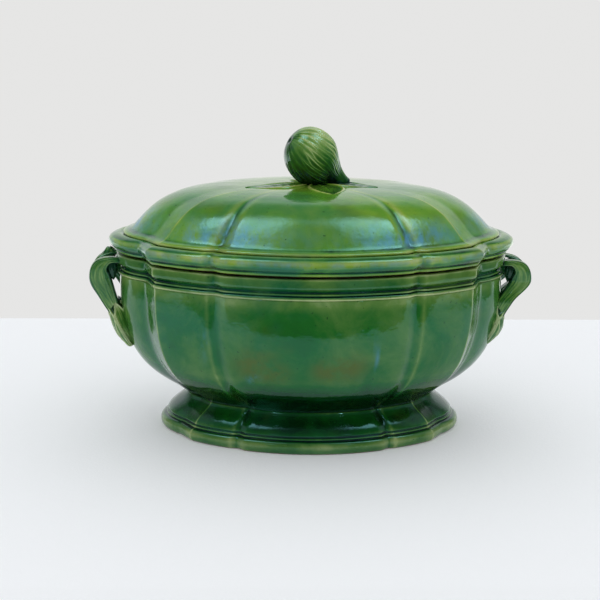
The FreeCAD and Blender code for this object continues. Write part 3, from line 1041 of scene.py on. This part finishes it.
def dress(piece, look, slot, body, *nodes):
    """Gives a piece its glaze, its relief and its body, and hides the CAD nodes that it stands for."""
    store_relief(piece)
    piece.data.materials.append(GLAZES[look])
    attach(piece, body)
    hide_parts(*nodes)


def places(piece, node):
    """X, Y and the height above the node's base of a piece's vertices, in millimetres."""
    x, y, z = points_of(piece, "co").T / MM
    return x, y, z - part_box(node)[0][2] / MM


def bowl():
    """The bowl, with brown patches, strokes of painted sheen and painted shade towards the foot."""
    piece = lobed_piece("bowl_shell", "bowl", BOWL_OUTSIDE, BOWL_INSIDE, closed=False)
    x, y, height = places(piece, "bowl")
    across = np.where(y < 0, 1, -1) * x
    stain, painted_sheen = np.zeros((2, len(x)))
    for middle, level, radius in BOWL_STAINS:
        away = within(across, height, middle, level, radius, radius / STAIN_FLATNESS)
        stain = np.maximum(stain, np.exp(-away ** 3))
    for *spot, strength in BOWL_SHEEN_STROKES:
        painted_sheen = np.maximum(painted_sheen, strength * np.exp(-within(across, height, *spot) ** 2))
    store(piece, "stain", stain)
    store(piece, "painted_sheen", painted_sheen)
    # Painted shade: darker towards the foot, standing in for the foot's shadow and reflection on the
    # bowl.
    store(piece, "painted_shade", 0.40 * clamped(height, *BOWL_SHADE))
    dress(piece, "bowl", "bowl_glaze", "tureen", "bowl")


def dome():
    """The dome, with a painted bluish sheen low on its lobes and painted shade round the fig."""
    piece = lobed_piece("dome_shell", "lid_dome", DOME_OUTSIDE, DOME_INSIDE, LOBES_FADE_BELOW)
    x, y, height = places(piece, "lid_dome")
    lobes = 0.55 + 0.45 * np.cos(6 * np.arctan2(y / DEPTH_RATIO, x))
    painted_sheen = clamped(height, *DOME_SHEEN) * clamped(height, *DOME_SHEEN_END) * lobes
    store(piece, "painted_sheen", 0.85 * painted_sheen)
    store(piece, "painted_shade", fig_shade_and_reflection(x, y))
    dress(piece, "lid", "lid_glaze", "lid", "lid_dome")


def shells():
    """The lobed shells of the tureen and the lid."""
    foot = lobed_piece("foot_shell", "foot", FOOT_OUTSIDE, FOOT_INSIDE)
    dress(foot, "foot", "foot_glaze", "tureen", "foot")
    bowl()
    collar = lobed_piece("collar_band", "collar", COLLAR_OUTSIDE, COLLAR_INSIDE)
    dress(collar, "collar", "collar_glaze", "tureen", "collar")
    rim = lobed_piece("rim_bead", "lid_rim", RIM_OUTSIDE, RIM_INSIDE)
    height = places(rim, "lid_rim")[2]
    # A band of painted bluish sheen along the rim bead.
    store(rim, "painted_sheen", 0.4 * np.exp(-((height - RIM_SHEEN[0]) / RIM_SHEEN[1]) ** 2))
    dress(rim, "rim", "lid_glaze", "lid", "lid_rim")
    dome()


def knob_and_leaves():
    """The fig knob and the leaves that it lies on."""
    dress(fig(), "fig", "fig_glaze", "lid", "fig", "fig_stalk")
    for name, (base, tip, half_width) in LID_LEAVES.items():
        dress(lid_leaf(name, base, tip, half_width), "lid", "leaf_glaze", "lid", name)


# ======== studio
# The table's back edge and its reach elsewhere, in metres.
BACK_EDGE = 0.386
TABLE_REACH = 6
# Reach to the sides and front of the part that the glaze mirrors, because the room beyond is dim.
TABLE_MIDDLE = (0.62, 0.35)
TABLE_COLOUR = (0.815, 0.825, 0.84)
TABLE_GLOW = (0.97, 0.98, 1.0)
# Soft lights that the glaze mirrors: direction, inner and outer angle in degrees, colour and strength.
# The side lights are the right-hand ones, and have mirror images at the left.
BACK_LIGHT = ((0.0, 1.0, 0.12), 34, 68, (1.0, 0.99, 0.98), 0.78)
SIDE_LIGHTS = [
    ((0.14, -0.18, 1.0), 0, 16, (0.92, 0.97, 1.0), 0.6),
    ((0.42, -0.17, 1.0), 0, 25, (0.88, 0.95, 1.0), 4.2),
    ((0.62, -0.06, 1.0), 0, 14, (0.88, 0.95, 1.0), 3.0),
    ((0.86, 0.10, 0.50), 8, 38, (0.95, 0.98, 1.0), 0.35),
    ((0.50, 0.85, -0.26), 6, 20, (1.0, 0.99, 0.98), 0.9),
    ((0.80, 0.54, -0.26), 6, 20, (1.0, 0.99, 0.98), 1.5),
]
ROOM_DIM = (0.115, 0.12, 0.115)
# Daylight on everything: at the horizon, more towards the zenith, and more from the wall behind.
SKY = (0.97, 0.985, 1.0)
SKY_LOW = 0.62
SKY_HIGH = 0.52
SKY_BEHIND = 0.18
WALL_SEEN = (0.79, 0.789, 0.782)
# Two small windows in front, which show as bright specks on beads and ribs.
WINDOW_PLACES = {"left": (-1.1, -2.2, 1.25), "right": (1.1, -2.2, 1.25)}
WINDOW_TARGET = (0, 0, 0.1)
WINDOW_SIZE = (0.06, 0.08)
WINDOW_POWER = 0.6
WINDOW_COLOUR = (0.9, 0.97, 1.0)


def flat_sheet(name, low, high, z, material):
    """A level rectangle of the studio."""
    corners = [(low[0], low[1], z), (high[0], low[1], z), (high[0], high[1], z), (low[0], high[1], z)]
    piece = new_piece(name, corners, [(0, 1, 2, 3)])
    piece.data.materials.append(material)
    return piece


def floor_material():
    """White painted table with a fine grain, and a little light of its own for soft shadows."""
    material, tree, shader = new_material("table_white")
    set_inputs(tree, shader, {"Base Color": TABLE_COLOUR, "Roughness": 0.75,
                              "Emission Color": TABLE_GLOW, "Emission Strength": 0.11})
    bumps(tree, shader, noise_field(tree, 380, 3, 0.6), 0.35, 0.8 * MM)
    return material


def table_top():
    """A pale table up to its back edge. Glossy rays see only its middle."""
    material = floor_material()
    table = flat_sheet("table", (-TABLE_REACH, -TABLE_REACH), (TABLE_REACH, BACK_EDGE), 0, material)
    table.visible_glossy = False
    reach, front = TABLE_MIDDLE
    middle = flat_sheet("table_middle", (-reach, -front), (reach, BACK_EDGE), 0.3 * MM, material)
    middle.visible_camera = False
    middle.visible_diffuse = False
    middle.visible_shadow = False


def glow(tree, colour, strength):
    """A background of one colour and a strength that is a number or a socket."""
    return add_node(tree, "Background", {"Color": colour, "Strength": strength}).outputs["Background"]


def toward(tree, direction):
    """The cosine between the ray and a direction."""
    ray = add_node(tree, "TexCoord").outputs["Generated"]
    inputs = {0: ray, 1: Vector(direction).normalized()}
    return add_node(tree, "VectorMath", inputs, operation="DOT_PRODUCT").outputs["Value"]


def room_lights(tree):
    """The dim room with its soft lights."""
    lights = [BACK_LIGHT]
    for sign in (-1, 1):
        lights += [((sign * x, y, z), *rest) for (x, y, z), *rest in SIDE_LIGHTS]
    total = glow(tree, ROOM_DIM, 1)
    for direction, inner, outer, colour, strength in lights:
        edges = [math.cos(math.radians(angle)) for angle in (outer, inner)]
        near = mask(tree, toward(tree, direction), *edges)
        spot = glow(tree, colour, scaled(tree, maths(tree, "POWER", near, 3), strength))
        total = add_node(tree, "AddShader", {0: total, 1: spot}).outputs["Shader"]
    return total


def room():
    """The world: a pale wall to the camera, soft lights to mirror rays and daylight to the rest."""
    world = bpy.data.worlds.new("room")
    world.use_nodes = True
    tree = world.node_tree
    tree.nodes.clear()
    high = maths(tree, "MAXIMUM", toward(tree, (0, 0, 1)), 0)
    level = scaled(tree, high, SKY_HIGH, SKY_LOW)
    level = scaled(tree, toward(tree, (0, 1, 0)), SKY_BEHIND, level)
    light = glow(tree, SKY, level)
    rays = add_node(tree, "LightPath").outputs
    seen_by = {"Is Glossy Ray": room_lights(tree), "Is Camera Ray": glow(tree, WALL_SEEN, 1)}
    for ray, seen in seen_by.items():
        light = add_node(tree, "MixShader", {0: rays[ray], 1: light, 2: seen}).outputs["Shader"]
    add_node(tree, "OutputWorld", {"Surface": light})
    bpy.context.scene.world = world


def windows():
    """The small area lights of the windows."""
    for side, place in WINDOW_PLACES.items():
        data = bpy.data.lights.new("window_" + side, "AREA")
        data.shape = "RECTANGLE"
        data.size, data.size_y = WINDOW_SIZE
        data.energy = WINDOW_POWER
        data.color = WINDOW_COLOUR
        light = bpy.data.objects.new("window_" + side, data)
        light.location = place
        aim = Vector(WINDOW_TARGET) - Vector(place)
        light.rotation_euler = aim.to_track_quat("-Z", "Y").to_euler()
        light.visible_camera = False
        bpy.context.scene.collection.objects.link(light)


# ======== camera
# In metres, and the lens and sensor in millimetres.
CAMERA_DISTANCE = 1.2
CAMERA_HEIGHT = 0.375
CAMERA_AROUND = math.radians(-2.32)
CAMERA_DOWN = math.radians(12.55)
CAMERA_PAN = math.radians(0.44)
CAMERA_ROLL = math.radians(0.59)
CAMERA_LENS = 86.4
CAMERA_SENSOR = 36


def camera():
    """The camera, nearly level with the lid and a little to the left of the front."""
    data = bpy.data.cameras.new("camera")
    data.lens = CAMERA_LENS
    data.sensor_width = CAMERA_SENSOR
    data.clip_start = 0.05
    eye = bpy.data.objects.new("camera", data)
    around = Vector((math.sin(CAMERA_AROUND), -math.cos(CAMERA_AROUND), 0))
    eye.location = around * CAMERA_DISTANCE + Vector((0, 0, CAMERA_HEIGHT))
    turn = Matrix.Rotation(CAMERA_AROUND + CAMERA_PAN, 3, "Z")
    turn = turn @ Matrix.Rotation(math.pi / 2 - CAMERA_DOWN, 3, "X")
    eye.rotation_euler = (turn @ Matrix.Rotation(CAMERA_ROLL, 3, "Z")).to_euler()
    bpy.context.scene.collection.objects.link(eye)
    bpy.context.scene.camera = eye


shells()
handles()
knob_and_leaves()
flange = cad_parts["lid_flange"]
flange.data.materials.clear()
flange.data.materials.append(clay_in_painted_shade())
table_top()
room()
windows()
camera()
bpy.context.scene.view_settings.view_transform = "Standard"
